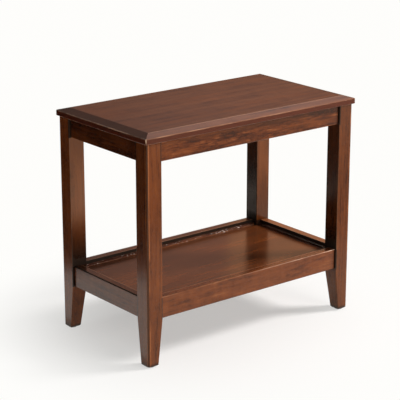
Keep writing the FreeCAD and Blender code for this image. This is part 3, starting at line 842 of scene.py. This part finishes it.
def nailed_glide(node_name, materials):
    low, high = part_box(node_name)
    middle = (low + high) / 2.0
    disc = (high.x - low.x) / 2.0
    disc_height = 0.0020
    lower_round = 0.0012
    upper_round = disc_height - lower_round
    hollow = 0.0010
    hollow_foot = 0.0036
    hollow_rim = 0.0042
    nail_head = 0.0032
    nail_dome = 0.0006
    nail = 0.00125
    nail_tip = 0.003
    outline = [
        *round_stretch((0.0, hollow), (nail_head, nail_dome), -90.0, 0.0, 3),
        (hollow_foot, hollow),
        (hollow_rim, 0.0),
        *round_stretch((disc - lower_round, lower_round), (lower_round, lower_round), -90.0, 0.0, 4),
        *round_stretch((disc - upper_round, lower_round), (upper_round, upper_round), 0.0, 90.0, 3)[1:],
        (nail, disc_height),
        (nail, high.z - nail_tip),
        (0.0, high.z),
    ]
    shape = bmesh.new()
    verts = [shape.verts.new((radius, 0.0, height)) for radius, height in outline]
    edges = [shape.edges.new(pair) for pair in zip(verts, verts[1:])]
    bmesh.ops.spin(
        shape, geom=verts + edges, cent=(0.0, 0.0, 0.0), axis=(0.0, 0.0, 1.0), angle=math.tau,
        steps=48, use_merge=True,
    )
    bmesh.ops.remove_doubles(shape, verts=shape.verts, dist=0.00001)
    bmesh.ops.recalc_face_normals(shape, faces=shape.faces)
    for face in shape.faces:
        centre = face.calc_center_median()
        face.material_index = 1 if math.hypot(centre.x, centre.y) < nail_head else 0
        face.smooth = True
    bmesh.ops.translate(shape, vec=(middle.x, middle.y, 0.0), verts=shape.verts)
    mesh = finished_mesh(shape, node_name + "_nailed")
    for material in materials:
        mesh.materials.append(material)
    made = set_out(node_name + "_nailed", mesh)
    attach(made, "root")
    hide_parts(node_name)


nylon = dark_nylon("nylon")
for corner in ("front_left", "front_right", "back_right", "back_left"):
    nailed_glide("foot_glide_" + corner, (nylon, zinc))


# Floor
# A sheet of matt white paper that the table stands on. Far from the table it shows plain white, and near the
# table it takes the soft shadow, which a share of glow there lightens as painted light.

def plane(name, size, matrix):
    sheet = bmesh.new()
    bmesh.ops.create_grid(sheet, x_segments=1, y_segments=1, size=0.5)
    bmesh.ops.scale(sheet, vec=(*size, 1.0), verts=sheet.verts)
    bmesh.ops.transform(sheet, matrix=matrix, verts=sheet.verts)
    made = set_out(name, finished_mesh(sheet, name))
    return made


def looked_at_straight(tree):
    rays = add_node(tree, "ShaderNodeLightPath").outputs
    seen = reckon(tree, "MAXIMUM", rays["Is Camera Ray"], rays["Is Glossy Ray"])
    return reckon(tree, "MAXIMUM", seen, rays["Is Transmission Ray"])


def blend_shaders(tree, share, first, second):
    node = add_node(tree, "ShaderNodeMixShader")
    feed(tree, node.inputs[0], share)
    tree.links.new(first.outputs[0], node.inputs[1])
    tree.links.new(second.outputs[0], node.inputs[2])
    return node


plain_white = (0.99, 0.985, 0.965, 1.0)


def white_floor(name):
    material, tree = blank_material(name)
    place = add_node(tree, "ShaderNodeTexCoord").outputs["Object"]
    distance = reckon_vector(tree, "LENGTH", place)
    # Glow seen by the camera and in reflections: plain white far off, and near the table painted light that
    # lightens the shadow.
    glow_share = spread(tree, distance, 0.15, 0.62, 0.43, 1.0, "SMOOTHSTEP")
    paint = add_node(tree, "ShaderNodeBsdfDiffuse")
    paint.inputs["Color"].default_value = (0.965, 0.932, 0.912, 1.0)
    glow = add_node(tree, "ShaderNodeEmission")
    glow.inputs["Color"].default_value = plain_white
    shown = reckon(tree, "MULTIPLY", glow_share, looked_at_straight(tree))
    show(tree, blend_shaders(tree, shown, paint, glow))
    return material


floor = plane("floor", (24.0, 24.0), Matrix.Identity(4))
floor.data.materials.append(white_floor("white_floor"))


# Light
# A broad soft lamp high at the right, a weaker one in front and one overhead, in a white room. The lacquer
# mirrors a grey curtain all round, a black screen that keeps the left faces dark, and a few cards and panels
# that light up single faces and edges. None of these is seen itself.

def soft_lamp(name, place, size, power):
    lamp = bpy.data.lights.new(name, "AREA")
    lamp.shape = "RECTANGLE"
    lamp.size, lamp.size_y = size
    lamp.energy = power
    table_middle = Vector((0.0, 0.0, 0.3))
    made = set_out(name, lamp)
    made.location = place
    made.rotation_euler = (table_middle - Vector(place)).to_track_quat("-Z", "Y").to_euler()
    return made


key_lamp = soft_lamp("key_lamp", (4.425, -2.325, 3.70), (1.5, 1.5), 415.0)
key_lamp.visible_glossy = False
soft_lamp("front_lamp", (0.6, -3.4, 1.2), (1.8, 1.2), 50.0)
soft_lamp("top_lamp", (0.2, 0.1, 3.0), (1.6, 1.6), 12.0)

world = bpy.data.worlds.new("white_room")
bpy.context.scene.world = world
world.use_nodes = True
room = world.node_tree
room_light = room.nodes["Background"]
room_light.inputs["Color"].default_value = (0.06, 0.06, 0.06, 1.0)
room_white = add_node(room, "ShaderNodeBackground")
room_white.inputs["Color"].default_value = plain_white
room_mix = blend_shaders(room, looked_at_straight(room), room_light, room_white)
room.links.new(room_mix.outputs[0], room.nodes["World Output"].inputs["Surface"])


def mirrored_only(screen, level):
    screen.visible_camera = False
    screen.visible_diffuse = False
    screen.visible_transmission = False
    screen.visible_shadow = False
    cloth, tree = blank_material(screen.name)
    glow = add_node(tree, "ShaderNodeEmission")
    glow.inputs["Color"].default_value = (*level, 1.0)
    show(tree, glow)
    screen.data.materials.append(cloth)


def curtain(name, radius, height):
    ring = bmesh.new()
    bmesh.ops.create_circle(ring, segments=48, radius=radius)
    upper = raised_verts(bmesh.ops.extrude_edge_only(ring, edges=ring.edges))
    bmesh.ops.translate(ring, vec=(0.0, 0.0, height), verts=upper)
    made = set_out(name, finished_mesh(ring, name))
    return made


def stood(place, turn, lean):
    turned = Matrix.Rotation(math.radians(turn), 4, "Z") @ Matrix.Rotation(math.radians(lean), 4, "Y")
    return Matrix.Translation(place) @ turned


def facing(place, target):
    turned = (Vector(target) - Vector(place)).to_track_quat("-Z", "Y").to_matrix().to_4x4()
    return Matrix.Translation(place) @ turned


mirrored_only(curtain("grey_curtain", 7.0, 9.0), (0.13, 0.13, 0.13))

behind_shelf = stood((0.44, 0.544, 0.385), 51.0, 90.0)
cards = {
    "black_screen": ((1.1, 2.0), stood((-0.66, 0.30, 0.55), -38.6, 90.0), (0.005, 0.005, 0.005)),
    "white_card": ((0.42, 0.78), stood((-0.54, 0.24, 0.003), 0.0, 0.0), (1.3, 1.3, 1.3)),
    "grey_card": ((1.1, 2.0), stood((0.78, -1.14, 0.003), -51.4, 0.0), (0.45, 0.45, 0.45)),
    "dim_card": ((0.27, 0.71), behind_shelf @ Matrix.Translation((0.0, 0.295, 0.0)), (0.48, 0.27, 0.21)),
    "lit_card": ((0.27, 0.59), behind_shelf @ Matrix.Translation((0.0, -0.355, 0.0)), (0.82, 0.44, 0.26)),
    "arris_strip": ((0.7, 1.0), stood((-0.84, 1.5, 1.68), 110.0, 54.0), (5.0, 5.0, 5.0)),
    "bevel_panel": ((1.4, 0.7), facing((1.26, 0.84, 1.71), (0.0, -0.16, 0.53)), (0.50, 0.64, 0.78)),
    "key_card": ((1.5, 1.5), key_lamp.matrix_basis, (5.0, 5.0, 5.0)),
}
for card, (size, matrix, level) in cards.items():
    mirrored_only(plane(card, size, matrix), level)


# Camera
# A long lens set where the photograph was taken from, well back, a little above the table and to the left of
# its front.

camera_turn = math.radians(-38.6)
camera_rise = math.radians(17.09)
camera_away = 3.545
looked_at = Vector((-0.0148, 0.0107, 0.2928))
camera_back = Vector((
    math.sin(camera_turn) * math.cos(camera_rise),
    -math.cos(camera_turn) * math.cos(camera_rise),
    math.sin(camera_rise),
))
lens = bpy.data.cameras.new("camera")
lens.lens = 136.3
lens.sensor_width = 36.0
lens.clip_end = 60.0
camera = set_out("camera", lens)
camera.location = looked_at + camera_back * camera_away
camera.rotation_euler = (-camera_back).to_track_quat("-Z", "Y").to_euler()
bpy.context.scene.camera = camera
bpy.context.scene.view_settings.view_transform = "Standard"
